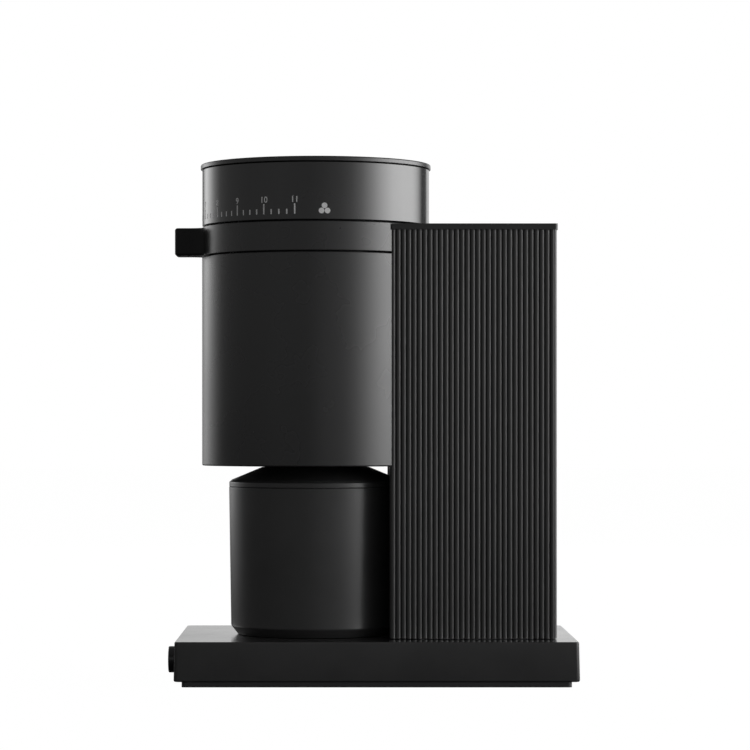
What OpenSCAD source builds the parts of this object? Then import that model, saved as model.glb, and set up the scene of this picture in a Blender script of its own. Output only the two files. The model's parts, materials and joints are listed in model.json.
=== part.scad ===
// Electric conical-burr coffee grinder. Millimetres, +Z up, front towards -Y.
// Heights are above the table; y values inside on_axis() count from the grinding axis.

/* [Base] */
// Width of the base slab
base_w = 130; // [120:1:140]
// Depth of the base in front of the grinding axis
base_front = 71; // [68:0.2:74]
// Depth of the base behind the grinding axis
base_rear = 133.6; // [130:0.2:140]
// Height of the base's underside
base_z = 2.75; // [2.5:0.05:3.2]
// Height of the base's top face
base_top = 22.9; // [22:0.1:24]
// Radius of the base's upright corners
base_corner = 2; // [1:0.5:3]

/* [Tower] */
// Width of the ribbed tower
tower_w = 90; // [88:0.5:92]
// Front face of the tower, behind the grinding axis
tower_front = 38.2; // [38:0.1:39]
// Back face of the tower, behind the grinding axis
tower_back = 123.3; // [120:0.1:126]
// Height of the tower's cap
tower_top = 234.8; // [234.6:0.1:235]
// Distance between two ribs
rib_pitch = 2.71; // [2.7:0.01:2.8]
// Radius of a rib's crest
rib_r = 1.4; // [1.38:0.01:1.5]

/* [Body] */
// Radius of the grinder body
body_r = 59.5; // [59:0.1:60]
// Height of the body's underside
body_z = 111; // [110.9:0.1:111.5]
// Height of the seam between body and adjustment ring
ring_z = 220.1; // [219.8:0.1:220.4]
// Height of the seam between adjustment ring and hopper
hopper_z = 235.6; // [235.4:0.1:235.8]
// Radius of the hopper drum
hopper_r = 59.4; // [59:0.1:59.6]
// Height of the seam under the lid's flange
lid_z = 265.4; // [265:0.1:265.8]
// Radius of the lid's flange
lid_r = 60.2; // [60:0.1:60.6]
// Overall height
total_h = 268; // [267.8:0.1:268.4]

/* [Cup] */
// Radius of the cup at its rim
cup_r = 45.4; // [45:0.1:46]
// Radius of the cup near its foot
cup_foot_r = 44.3; // [44:0.1:45]
// Height of the cup's rim
cup_rim_z = 99.8; // [99:0.1:100]
// Height of the top of the cup's lid
cup_lid_top = 110.2; // [110:0.1:110.4]
// Radius of the hole in the cup's lid
cup_hole_r = 26.4; // [26.2:0.1:26.6]

/* [Drive] */
// Radius of the burr shaft
shaft_r = 5; // [4.5:0.1:5.2]
// Module of the motor's gear pair
gear_module = 0.8; // [0.8:0.1:0.9]
// Teeth on the motor pinion
pinion_teeth = 12; // [12:1:12]
// Teeth on the idler gear
idler_teeth = 48; // [48:1:48]
// Radius of the belt's track on the idler
small_pulley_r = 6.25; // [6:0.05:6.3]
// Radius of the belt's track on the burr shaft
large_pulley_r = 12.5; // [12:0.1:12.6]
// Distance of the idler axle from the grinding axis
idler_y = 52.5; // [52.5:0.1:53]
// Radius of the motor's can
motor_r = 26; // [24:0.5:26]
// Turn of the pinion that puts its teeth in mesh at rest
pinion_phase = 15; // [15:15:15]

/* [Hidden] */
$fn = 96;
wall = 3;
seam = 0.3;
eps = 0.02;
button_out = 3.5;
axis_y = -(base_rear - (base_front + button_out)) / 2;
base_mid = (base_rear - base_front) / 2;
base_d = base_front + base_rear;
button_x = 45;
button_z = 12.8;
button_r = 6.7;
tower_mid = (tower_front + tower_back) / 2;
tower_d = tower_back - tower_front;
tower_in = tower_w / 2 - 3.6;
shell_z = base_top + 0.4;
cap_t = 3.1;
cut_r = body_r + 0.4;
motor_y = idler_y + gear_module * (pinion_teeth + idler_teeth) / 2;
case_z = 122;
case_top = 150;
cover_t = 3;
case_w = 2 * motor_r + 2;
case_r = 16.6;
case_rear = 104;
wire_y = 92;
recess_r = cup_r + 1.2;
chamber_z = 160;
chamber_r = 35.5;
chute_y = -22;
chute_r = 4;
burr_z = 170;
burr_top = 200;
carrier_r = 35.4;
collar_r = 43.6;
tab_front = 73.4;
tab_half = 9;
tab_fillet = 9;
pressure_angle = 25;

// ---------- helpers ----------

// Places children on the grinding axis, y to the rear
module on_axis(y = 0) { translate([0, axis_y + y, 0]) children(); }

module disc(r, z0, z1) { translate([0, 0, z0]) cylinder(r = r, h = z1 - z0); }

module tube(ro, ri, z0, z1) {
    difference() {
        disc(ro, z0, z1);
        disc(ri, z0 - 1, z1 + 1);
    }
}

// Block centred on x, between two depths and two heights
module block(w, y0, y1, z0, z1) {
    translate([-w / 2, y0, z0]) cube([w, y1 - y0, z1 - z0]);
}

// Rectangle with true round corners, centred
module rounded_rect(w, d, r) {
    square([w - 2 * r, d], center = true);
    square([w, d - 2 * r], center = true);
    for (x = [-1, 1], y = [-1, 1])
        translate([x * (w / 2 - r), y * (d / 2 - r)]) circle(r = r);
}

module slab(w, d, r, z0, z1) {
    translate([0, 0, z0]) linear_extrude(height = z1 - z0) rounded_rect(w, d, r);
}

// Ring of equal items about the axis
module around(count, r, first = 0) {
    for (i = [0 : count - 1])
        rotate([0, 0, first + i * 360 / count]) translate([r, 0, 0]) children();
}

// Pan-head screw, head at z0, shank pointing along -Z for len
module screw(z0, len, r = 1.5, head_r = 2.8, head_h = 2) {
    difference() {
        union() {
            disc(head_r, z0, z0 + head_h);
            disc(r, z0 - len, z0 + eps);
        }
        for (a = [0, 90])
            translate([0, 0, z0 + head_h]) rotate([0, 0, a]) cube([head_r * 1.3, 0.7, 1.6], center = true);
    }
}

// The same screw with its head underneath and its shank pointing up
module screw_up(z0, len, r = 1.5, head_r = 2.8, head_h = 2) {
    translate([0, 0, z0]) mirror([0, 0, 1]) screw(0, len, r, head_r, head_h);
}

// Involute of a circle of radius rb at roll angle t, in degrees
function involute(rb, t) = [rb * (cos(t) + t * PI / 180 * sin(t)), rb * (sin(t) - t * PI / 180 * cos(t))];
// Roll angle at which the involute reaches radius r
function roll(rb, r) = sqrt(max(0, pow(r / rb, 2) - 1)) * 180 / PI;
function turned(p, a) = [p[0] * cos(a) - p[1] * sin(a), p[0] * sin(a) + p[1] * cos(a)];

// Outline of a spur gear with involute flanks; backlash is taken off each tooth
module gear_outline(m, teeth, backlash = 0.12) {
    rp = m * teeth / 2;
    rb = rp * cos(pressure_angle);
    tip = rp + 0.9 * m;
    root = rp - 1.2 * m;
    half = 90 / teeth - backlash / rp * 90 / PI;
    inv_pitch = tan(pressure_angle) * 180 / PI - pressure_angle;
    steps = 4;
    first = roll(rb, max(rb, root));
    last = roll(rb, tip);
    flank = [for (i = [0 : steps]) involute(rb, first + (last - first) * i / steps)];
    shift = -half - inv_pitch;
    tooth = concat(
        [turned([root, 0], shift)],
        [for (p = flank) turned(p, shift)],
        [for (i = [steps : -1 : 0]) turned([flank[i][0], -flank[i][1]], -shift)],
        [turned([root, 0], -shift)]
    );
    polygon([for (i = [0 : teeth - 1]) for (p = tooth) turned(p, i * 360 / teeth)]);
}

// Straight stretches of wire with round joints, through the given points
module wire(points, r) {
    for (i = [0 : len(points) - 2]) {
        a = points[i];
        d = points[i + 1] - a;
        len_d = norm(d);
        translate(a) rotate([0, acos(d[2] / len_d), atan2(d[1], d[0])]) cylinder(r = r, h = len_d);
        if (i > 0) translate(a) sphere(r = r + 0.25);
    }
}

// ---------- base ----------

module base_screw_places() {
    for (x = [-1, 1], y = [-base_front + 9, base_mid, base_rear - 9])
        translate([x * (base_w / 2 - 8), y, 0]) children();
}

module foot_places() {
    for (x = [-1, 1], y = [-base_front + 20, base_rear - 20])
        translate([x * (base_w / 2 - 32), y, 0]) children();
}

module board_screw_places() {
    for (x = [-1, 1], y = [-1, 1])
        translate([-14 + x * 30, -20 + y * 25, 0]) children();
}

module base_housing() {
    color([0.05, 0.05, 0.055]) on_axis() {
        difference() {
            translate([0, base_mid, 0]) slab(base_w, base_d, base_corner, base_z, base_top);
            translate([0, base_mid, 0])
                slab(base_w - 2 * wall, base_d - 2 * wall, base_corner / 2, base_z - 1, base_top - wall);
            translate([button_x, -base_front - 1, button_z]) rotate([-90, 0, 0]) cylinder(r = button_r + 0.1, h = 6);
            translate([0, base_rear - wall - 1, button_z]) rotate([-90, 0, 0]) cylinder(r = 6, h = 6);
            translate([0, wire_y, base_top - wall - 1]) cylinder(r = 6, h = 6);
            chassis_screw_places() disc(2.1, base_top - wall - 1, base_top + 1);
        }
        base_screw_places() tube(4, 1.5, 5.5, base_top - wall + eps);
    }
}

module base_plate() {
    color([0.04, 0.04, 0.04]) on_axis() {
        difference() {
            union() {
                translate([0, base_mid, 0]) slab(base_w - 1, base_d - 8, base_corner, 0.1, base_z - 0.1);
                translate([0, base_mid, 0]) slab(base_w - 8, base_d - 8, base_corner, base_z - 0.2, 5.5);
            }
            foot_places() disc(11, 0, 2.6);
            base_screw_places() {
                disc(1.7, 0, 6);
                disc(3.4, 0, 3);
            }
        }
        board_screw_places() tube(3, 1, 5.5 - eps, 9);
    }
}

module feet() {
    color([0.06, 0.06, 0.06]) on_axis() foot_places() disc(10.9, 0, 2.6);
}

module base_screws() {
    color([0.6, 0.6, 0.62]) on_axis() base_screw_places() screw_up(3, 9, 1.45, 3.1, 1.8);
}

module cord_gland() {
    color([0.03, 0.03, 0.03]) on_axis() translate([0, base_rear, button_z]) rotate([90, 0, 0]) {
        difference() {
            union() {
                disc(5.9, 0, wall);
                disc(7, wall, wall + 2);
                disc(5.9, wall + 2 - eps, 12);
            }
            disc(3.6, -1, 13);
        }
    }
}

module control_board() {
    color([0.02, 0.18, 0.08]) on_axis() difference() {
        translate([-14, -20, 0]) slab(72, 62, 2, 9, 10.6);
        board_screw_places() disc(1.3, 8, 12);
    }
}

module board_components() {
    color([0.1, 0.1, 0.12]) on_axis() {
        translate([-34, -34, 10.6]) cylinder(r = 5, h = 8.2);
        translate([-34, -12, 10.6]) cube([14, 10, 8]);
        translate([-12, -40, 10.6]) cube([12, 16, 6]);
        translate([4, -14, 10.6]) cube([10, 16, 8]);
        translate([-16, -16, 10.6]) cylinder(r = 3, h = 7);
        translate([-4, -4, 10.6]) cylinder(r = 3, h = 7);
    }
}

module power_switch() {
    color([0.12, 0.12, 0.13]) on_axis() {
        translate([button_x - 6, -55.9, 5.5]) cube([12, 12, 13.5]);
    }
}

module power_button() {
    color([0.02, 0.02, 0.02]) on_axis() translate([button_x, -base_front - button_out, button_z])
        rotate([-90, 0, 0]) {
            disc(button_r - 0.6, 0, 0.5);
            disc(button_r, 0.5 - eps, button_out + wall + 0.3);
            intersection() {
                disc(7.6, button_out + wall + 0.3 - eps, button_out + wall + 2);
                translate([-8, -6.7, 0]) cube([16, 13.4, 20]);
            }
            disc(2.5, button_out + wall + 2 - eps, button_out + wall + 10.1);
        }
}

module motor_wires() {
    color([0.5, 0.05, 0.04]) on_axis() for (x = [-2, 2])
        wire([[9 + x, 2, 14.6], [9 + x, 12, 14.6], [x, wire_y, 12.6], [x, wire_y, 52]], 0.9);
}

// ---------- tower ----------

module ribbed_outline() {
    translate([0, tower_mid]) square([tower_w - 2 * rib_r, tower_d - 2 * rib_r], center = true);
    translate([0, tower_front + rib_r]) square([tower_w - 2 * rib_r, 2 * rib_r], center = true);
    for (s = [-1, 1], i = [0 : 30])
        translate([s * (tower_w / 2 - rib_r), tower_front + 1.6 + i * rib_pitch]) circle(r = rib_r, $fn = 32);
    for (i = [-16 : 16])
        translate([i * rib_pitch, tower_back - rib_r]) circle(r = rib_r, $fn = 32);
}

module tower_shell() {
    color([0.06, 0.06, 0.065]) on_axis() difference() {
        translate([0, 0, shell_z]) linear_extrude(height = tower_top - cap_t - shell_z) ribbed_outline();
        block(2 * tower_in, tower_front - 1, tower_back - 3.6, shell_z - 1, tower_top);
        disc(body_r + 0.1, body_z - seam, ring_z);
        disc(cut_r, ring_z - eps, tower_top);
    }
}

module tower_cap() {
    color([0.05, 0.05, 0.055]) on_axis() difference() {
        union() {
            translate([0, tower_mid, 0]) slab(tower_w + 1, tower_d + 1, 1.5, tower_top - cap_t, tower_top);
            block(2 * tower_in - 0.4, tower_front, tower_back - 3.8, tower_top - cap_t - 3, tower_top - cap_t + eps);
        }
        block(2 * tower_in - 5, tower_front - 1, tower_back - 6.2, tower_top - cap_t - 4, tower_top - cap_t);
        disc(cut_r + 0.1, tower_top - 10, tower_top + 1);
    }
}

module tower_front_panel() {
    color([0.05, 0.05, 0.055]) on_axis() {
        difference() {
            union() {
                block(2 * tower_in - 0.4, tower_front, tower_front + 2.5, shell_z, body_z - seam);
                intersection() {
                    disc(recess_r + 2.5, shell_z, body_z - seam);
                    block(2 * tower_in - 0.4, tower_front, tower_back, shell_z - 1, body_z);
                }
            }
            disc(recess_r, shell_z - 1, body_z);
        }
    }
}

module chassis_screw_places() {
    for (x = [-1, 1], y = [62, 92]) translate([x * 31, y, 0]) children();
}

module chassis() {
    color([0.55, 0.56, 0.58]) on_axis() {
        difference() {
            block(74, 54, 112, base_top, base_top + 3);
            chassis_screw_places() disc(2.1, base_top - 1, base_top + 4);
            translate([0, wire_y, 0]) disc(7, base_top - 1, base_top + 4);
        }
        difference() {
            block(60, case_rear, case_rear + 3, base_top + 3 - eps, case_top);
            for (x = [-1, 1], z = [128, 142])
                translate([x * 24, case_rear - 1, z]) rotate([-90, 0, 0]) cylinder(r = 1.7, h = 6);
        }
        for (x = [-1, 1])
            translate([x * 29 - 1.5, case_rear - 30, base_top + 3 - eps]) cube([3, 30 + eps, 24]);
    }
}

module chassis_screws() {
    color([0.6, 0.6, 0.62]) on_axis() {
        chassis_screw_places() screw_up(base_top - wall, 5.8, 2, 3.6, 2.2);
        for (x = [-1, 1], z = [128, 142])
            translate([x * 24, case_rear + 3, z]) rotate([-90, 0, 0]) screw(0, 5.5, 1.6, 2.8, 2);
    }
}

// ---------- gear case, motor and belt ----------

// Plan of the gear case, grown or shrunk by g
module case_outline(g) {
    circle(r = case_r + g);
    translate([-case_r - g, 0]) square([2 * (case_r + g), 30]);
    translate([-case_w / 2 - g, 24 - g]) square([case_w + 2 * g, case_rear - 24 + 2 * g]);
}

module gear_case() {
    color([0.6, 0.61, 0.63]) on_axis() {
        difference() {
            translate([0, 0, case_z]) linear_extrude(height = case_top - case_z) case_outline(0);
            translate([0, 0, case_z + 3]) linear_extrude(height = case_top) case_outline(-1.8);
            disc(8, case_z - 1, case_top);
            translate([0, idler_y, 0]) disc(3, case_z - 1, case_top);
            translate([0, motor_y, 0]) disc(8.5, case_z - 1, case_top);
            for (x = [-1, 1]) translate([x * 16, motor_y, 0]) disc(1.7, case_z - 1, case_top);
            for (x = [-1, 1], z = [128, 142])
                translate([x * 24, case_rear - 9, z]) rotate([-90, 0, 0]) cylinder(r = 1.6, h = 12);
        }
        tube(10, 8, case_z, case_z + 7);
        for (x = [-1, 1], y = [34, 94])
            translate([x * 23, y, 0]) tube(3, 1.2, case_z + 3 - eps, case_top);
    }
}

module gear_cover() {
    color([0.58, 0.59, 0.61]) on_axis() difference() {
        translate([0, 0, case_top]) linear_extrude(height = cover_t) case_outline(0);
        disc(11.5, case_top - 1, case_top + 5);
        translate([0, idler_y, 0]) disc(3, case_top - 1, case_top + 5);
        housing_leg_places() disc(1.5, case_top - 1, case_top + 5);
        for (x = [-1, 1], y = [34, 94])
            translate([x * 23, y, 0]) disc(1.5, case_top - 1, case_top + 5);
    }
}

module gear_cover_screws() {
    color([0.6, 0.6, 0.62]) on_axis() for (x = [-1, 1], y = [34, 94])
        translate([x * 23, y, 0]) screw(case_top + cover_t, 10, 1.2, 2.6, 1.8);
}

module motor_can() {
    color([0.62, 0.62, 0.6]) on_axis(motor_y) difference() {
        disc(motor_r, 58, case_z);
        disc(motor_r - 1.6, 57, case_z - 3);
        disc(5, 57, case_z + 1);
        for (x = [-1, 1]) translate([x * 16, 0, 0]) disc(1.3, case_z - 8, case_z + 1);
    }
}

module motor_endbell() {
    color([0.1, 0.1, 0.1]) on_axis(motor_y) difference() {
        union() {
            disc(motor_r, 52, 58);
            disc(motor_r - 1.7, 58 - eps, 62);
        }
        disc(motor_r - 4, 55, 63);
        disc(5, 51, 63);
    }
}

module motor_magnets() {
    color([0.2, 0.2, 0.21]) on_axis(motor_y) difference() {
        tube(motor_r - 1.6, motor_r - 6, 68, 108);
        block(80, -4, 4, 60, 120);
    }
}

module motor_bearings() {
    color([0.7, 0.68, 0.55]) on_axis(motor_y) {
        tube(5, 3.05, 52, 55);
        tube(5, 3.05, case_z - 5, case_z);
    }
}

module motor_screws() {
    color([0.6, 0.6, 0.62]) on_axis(motor_y) for (x = [-1, 1])
        translate([x * 16, 0, 0]) screw(case_z + 3, 9, 1.3, 2.6, 1.8);
}

module motor_shaft() {
    color([0.7, 0.7, 0.72]) on_axis(motor_y) disc(3, 51, 139);
}

module motor_armature() {
    color([0.65, 0.4, 0.25]) on_axis(motor_y) difference() {
        union() {
            disc(motor_r - 6.8, 70, 106);
            disc(9, 64, 70 + eps);
        }
        disc(3, 60, 110);
        around(5, motor_r - 6.8, 18) block(4, -1.2, 1.2, 69, 107);
    }
}

module motor_pinion() {
    color([0.72, 0.6, 0.3]) on_axis(motor_y) difference() {
        translate([0, 0, 128]) rotate([0, 0, pinion_phase])
            linear_extrude(height = 11) gear_outline(gear_module, pinion_teeth);
        disc(3, 127, 140);
    }
}

module idler_axle() {
    color([0.7, 0.7, 0.72]) on_axis(idler_y) disc(3, case_z, case_top + cover_t);
}

module idler_gear() {
    color([0.9, 0.88, 0.8]) on_axis(idler_y) difference() {
        union() {
            translate([0, 0, 129]) linear_extrude(height = 8) gear_outline(gear_module, idler_teeth);
            disc(5, 126, 138);
        }
        disc(3.05, 125, 139);
        around(6, 12, 30) disc(3, 128, 138);
    }
}

module idler_pulley() {
    color([0.3, 0.3, 0.32]) on_axis(idler_y) difference() {
        union() {
            disc(small_pulley_r, 138, 147);
            disc(small_pulley_r + 1.6, 138, 138.8);
            disc(small_pulley_r + 1.6, 146.2, 147);
        }
        disc(3.05, 137, 148);
    }
}

// Solid outline of a belt run round both pulleys, standing off their tracks by g
module belt_outline(g) {
    hull() {
        circle(r = large_pulley_r + g);
        translate([0, idler_y]) circle(r = small_pulley_r + g);
    }
}

module drive_belt() {
    color([0.04, 0.04, 0.04]) on_axis() translate([0, 0, 139.4]) linear_extrude(height = 6.2) difference() {
        belt_outline(1.3);
        belt_outline(0.1);
    }
}

module burr_pulley() {
    color([0.3, 0.3, 0.32]) on_axis() difference() {
        union() {
            disc(large_pulley_r, 138, 147);
            disc(large_pulley_r + 1.6, 138, 138.8);
            disc(large_pulley_r + 1.6, 146.2, 147);
            disc(7.5, 130.5, 138 + eps);
        }
        disc(shaft_r, 130, 148);
    }
}

module burr_shaft() {
    color([0.7, 0.7, 0.72]) on_axis() disc(shaft_r, 122.5, 208);
}

module shaft_bearings() {
    color([0.66, 0.66, 0.68]) on_axis() {
        tube(8, shaft_r + 0.03, case_z, case_z + 7);
        tube(11, shaft_r + 0.03, chamber_z - 5, chamber_z + 2);
    }
}

// ---------- grinding chamber ----------

module housing_leg_places() {
    for (x = [-1, 1]) translate([x * 18, 28.5, 0]) children();
}

module burr_housing() {
    color([0.6, 0.61, 0.63]) on_axis() difference() {
        union() {
            disc(38, chamber_z, ring_z - 1);
            disc(13.5, case_top + cover_t, chamber_z + eps);
            housing_leg_places() disc(4, case_top + cover_t, chamber_z + eps);
        }
        disc(chamber_r, chamber_z + 3, ring_z);
        disc(11, chamber_z - 5, chamber_z + 4);
        disc(8, case_top, chamber_z);
        housing_leg_places() disc(1.25, case_top, chamber_z);
        translate([0, chute_y, 0]) disc(chute_r, chamber_z - 1, chamber_z + 4);
    }
}

module housing_screws() {
    color([0.6, 0.6, 0.62]) on_axis() housing_leg_places() screw_up(case_top, 9, 1.2, 2.6, 1.8);
}

module sweeper() {
    color([0.75, 0.74, 0.7]) on_axis() difference() {
        union() {
            disc(13, chamber_z + 3.4, burr_z - 1);
            around(4, 23, 45) block(23, -1.2, 1.2, chamber_z + 3.5, burr_z - 1.5);
        }
        disc(shaft_r, chamber_z, burr_z + 1);
    }
}

module inner_burr() {
    color([0.5, 0.5, 0.52]) on_axis() difference() {
        union() {
            disc(22, burr_z - 1, burr_z + 4);
            translate([0, 0, burr_z + 4 - eps]) cylinder(r1 = 22, r2 = 10, h = burr_top - burr_z - 4);
        }
        disc(shaft_r, burr_z - 2, burr_top + 1);
        around(8, 0) translate([0, 0, burr_z + 4]) rotate([0, -24, 14]) translate([19, -1, -3]) cube([6, 2, 36]);
    }
}

module burr_nut() {
    color([0.7, 0.7, 0.72]) on_axis() difference() {
        translate([0, 0, burr_top]) cylinder(r = 9, h = 5, $fn = 6);
        disc(shaft_r, burr_top - 1, burr_top + 6);
    }
}

module outer_burr() {
    color([0.48, 0.48, 0.5]) on_axis() difference() {
        disc(27, burr_z + 2, burr_top + 2);
        translate([0, 0, burr_z + 1]) cylinder(r = 22.6, h = 4);
        translate([0, 0, burr_z + 4]) cylinder(r1 = 22.45, r2 = 13, h = burr_top - burr_z - 1);
        around(8, 0, 10) translate([0, 0, burr_z + 4]) rotate([0, -18, -14]) translate([19.5, -1, 2]) cube([3, 2, 40]);
    }
}

module burr_carrier() {
    color([0.08, 0.08, 0.085]) on_axis() difference() {
        disc(carrier_r, burr_z + 2, 212);
        disc(27, burr_z + 1, burr_top + 2);
        disc(23.5, burr_top, burr_top + 8);
        disc(28.2, burr_top + 6, 213);
        around(3, 31.2, 90) disc(1.3, burr_z + 1, 190);
    }
}

module carrier_screws() {
    color([0.6, 0.6, 0.62]) on_axis() around(3, 31.2, 90) screw_up(burr_z + 2, 14, 1.25, 2.6, 1.8);
}

module grounds_chute() {
    color([0.08, 0.08, 0.085]) on_axis(chute_y) {
        tube(chute_r + 1, chute_r, body_z + 3, chamber_z);
    }
}

// ---------- grinder body ----------

module body_shell() {
    color([0.055, 0.055, 0.06]) on_axis() {
        difference() {
            disc(body_r, body_z, ring_z - seam);
            disc(body_r - wall, body_z - 1, ring_z - 3.3);
            disc(38.3, ring_z - 10, ring_z + 1);
            block(62, 30, 70, body_z - 1, case_top + 6);
            around(4, 42.2, 45) disc(1, ring_z - 6, ring_z + 1);
            translate([0, 50, 0]) disc(2.1, ring_z - 6, ring_z + 1);
        }
        around(3, 51, 150) tube(3.4, 1.2, body_z + 3, body_z + 16);
        around(3, 55.6, 150) block(4, -1, 1, body_z + 3, body_z + 16);
        translate([0, 50, 0]) tube(3.6, 2.1, ring_z - 14, ring_z - 3.2);
    }
}

module body_bottom_cover() {
    color([0.05, 0.05, 0.055]) on_axis() difference() {
        disc(body_r - wall - 0.2, body_z, body_z + 3);
        translate([-70, recess_r + 2.6, body_z - 1]) cube([140, 40, 6]);
        translate([0, chute_y, 0]) disc(chute_r, body_z - 1, body_z + 4);
        around(3, 51, 150) disc(1.5, body_z - 1, body_z + 4);
        around(3, 51, 150) disc(3, body_z - 1, body_z + 1.6);
    }
}

module body_screws() {
    color([0.25, 0.25, 0.26]) on_axis() around(3, 51, 150) screw_up(body_z + 1.6, 9, 1.2, 2.6, 1.4);
}

module hopper_collar() {
    color([0.1, 0.1, 0.11]) on_axis() difference() {
        union() {
            tube(collar_r, 41, ring_z - seam, hopper_z + 0.2);
            tube(collar_r, 38.3, ring_z - seam, ring_z + 3);
        }
        around(4, 42.2, 45) disc(1, ring_z - 1, ring_z + 12);
    }
}

module collar_screws() {
    color([0.6, 0.6, 0.62]) on_axis() around(4, 42.2, 45) disc(0.95, ring_z - 3.3, ring_z + 11);
}

module click_ball() {
    color([0.7, 0.7, 0.72]) on_axis(50) translate([0, 0, ring_z]) sphere(r = 2);
}

module click_spring() {
    color([0.6, 0.6, 0.62]) on_axis(50) tube(1.9, 1.3, ring_z - 12, ring_z - 2.1);
}

// ---------- adjustment ring ----------

module adjust_ring() {
    color([0.06, 0.06, 0.065]) on_axis() {
        tube(body_r, body_r - wall, ring_z + seam, hopper_z - seam);
        tube(collar_r + 3, collar_r + 0.08, ring_z + seam, hopper_z - seam);
        tube(body_r - wall + eps, collar_r + 3 - eps, ring_z + 4, ring_z + 7);
    }
}

module tab_outline() {
    fillet_x = tab_half + tab_fillet;
    fillet_y = -sqrt(pow(body_r + tab_fillet, 2) - pow(fillet_x, 2));
    tip_r = 2;
    difference() {
        union() {
            translate([-tab_half + tip_r, -tab_front]) square([2 * (tab_half - tip_r), 20]);
            translate([-tab_half, -tab_front + tip_r]) square([2 * tab_half, 20]);
            for (s = [-1, 1]) translate([s * (tab_half - tip_r), -tab_front + tip_r]) circle(r = tip_r);
            polygon([
                [-fillet_x, fillet_y], [fillet_x, fillet_y],
                [fillet_x * body_r / (body_r + tab_fillet), fillet_y * body_r / (body_r + tab_fillet)],
                [-fillet_x * body_r / (body_r + tab_fillet), fillet_y * body_r / (body_r + tab_fillet)]
            ]);
        }
        for (s = [-1, 1]) translate([s * fillet_x, fillet_y]) circle(r = tab_fillet);
        circle(r = body_r);
    }
}

module adjust_tab() {
    color([0.02, 0.02, 0.02]) on_axis() translate([0, 0, ring_z + seam])
        linear_extrude(height = tower_top - ring_z - seam) tab_outline();
}

// ---------- hopper ----------

module hopper_drum() {
    color([0.05, 0.05, 0.055]) on_axis() {
        tube(hopper_r, hopper_r - 2.4, hopper_z + seam, lid_z - 0.2);
        tube(hopper_r - 2.4 + eps, 42.4, hopper_z + seam, hopper_z + 2.6);
    }
}

module hopper_funnel() {
    top_r = hopper_r - 2.5;
    neck_r = 27.5;
    t = 2;
    color([0.1, 0.1, 0.11]) on_axis() rotate_extrude() polygon([
        [neck_r - t, 207.2], [neck_r, 207.2], [neck_r, 221], [top_r, 256], [top_r, lid_z - 0.6],
        [top_r - t, lid_z - 0.6], [top_r - t, 256.8], [neck_r - t, 222]
    ]);
}

module lid() {
    color([0.05, 0.05, 0.055]) on_axis() rotate_extrude() polygon([
        [0, 262], [50, 262], [50, 258], [53, 258], [53, 260.4], [52, 260.4], [52, 262.6], [53, 262.6],
        [53, lid_z + 0.1], [lid_r, lid_z + 0.1],
        [lid_r, total_h - 0.5], [lid_r - 0.5, total_h], [46, total_h], [40, 264.6], [0, 264.6]
    ]);
}

module lid_seal() {
    color([0.12, 0.12, 0.12]) on_axis() tube(54.6, 52, 260.5, 262.5);
}

// ---------- catch cup ----------

module cup_body() {
    z0 = base_top + 0.1;
    t = 2.2;
    color([0.06, 0.06, 0.065]) on_axis() difference() {
        rotate_extrude() polygon([
            [0, z0], [cup_foot_r - 3.6, z0], [cup_foot_r, z0 + 4.5], [cup_r, cup_rim_z],
            [cup_r - t, cup_rim_z], [cup_foot_r - t, z0 + 5], [cup_foot_r - t - 2, z0 + 3], [0, z0 + 3]
        ]);
        tube(36, 30, z0 - 1, z0 + 1.2);
    }
}

module cup_foot() {
    color([0.1, 0.1, 0.1]) on_axis() tube(35.9, 30.1, base_top + 0.1, base_top + 1.3);
}

module cup_lid() {
    color([0.06, 0.06, 0.065]) on_axis() rotate_extrude() polygon([
        [cup_hole_r, cup_lid_top], [cup_hole_r, cup_lid_top - 1.8], [41, 101.2], [41, 95], [42.4, 95], [42.4, 96.4],
        [41.8, 96.4], [41.8, 98.4], [42.4, 98.4], [42.4, 100.9 - 1], [cup_r - 0.1, 100.9 - 1],
        [cup_r - 0.1, 102.4], [cup_r - 1.5, 103.6], [cup_hole_r + 1.6, cup_lid_top]
    ]);
}

module cup_seal() {
    color([0.12, 0.12, 0.12]) on_axis() tube(42.75, 41.8, 96.5, 98.3);
}

// ---------- output ----------

base_housing();
base_plate();
feet();
base_screws();
cord_gland();
control_board();
board_components();
power_switch();
power_button();
motor_wires();
tower_shell();
tower_cap();
tower_front_panel();
chassis();
chassis_screws();
gear_case();
gear_cover();
gear_cover_screws();
motor_can();
motor_endbell();
motor_magnets();
motor_bearings();
motor_screws();
motor_shaft();
motor_armature();
motor_pinion();
idler_axle();
idler_gear();
idler_pulley();
drive_belt();
burr_pulley();
burr_shaft();
shaft_bearings();
sweeper();
inner_burr();
burr_nut();
burr_housing();
housing_screws();
outer_burr();
burr_carrier();
carrier_screws();
grounds_chute();
body_shell();
body_bottom_cover();
body_screws();
hopper_collar();
collar_screws();
click_ball();
click_spring();
adjust_ring();
adjust_tab();
hopper_drum();
hopper_funnel();
lid();
lid_seal();
cup_body();
cup_lid();
cup_seal();
cup_foot();
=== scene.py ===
"""Looks of the black electric burr grinder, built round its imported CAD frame."""

import json
from math import acos, atan2, cos, degrees, pi, radians, sin, sqrt, tan

import bmesh
import bpy
from mathutils import Matrix, Vector


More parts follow.
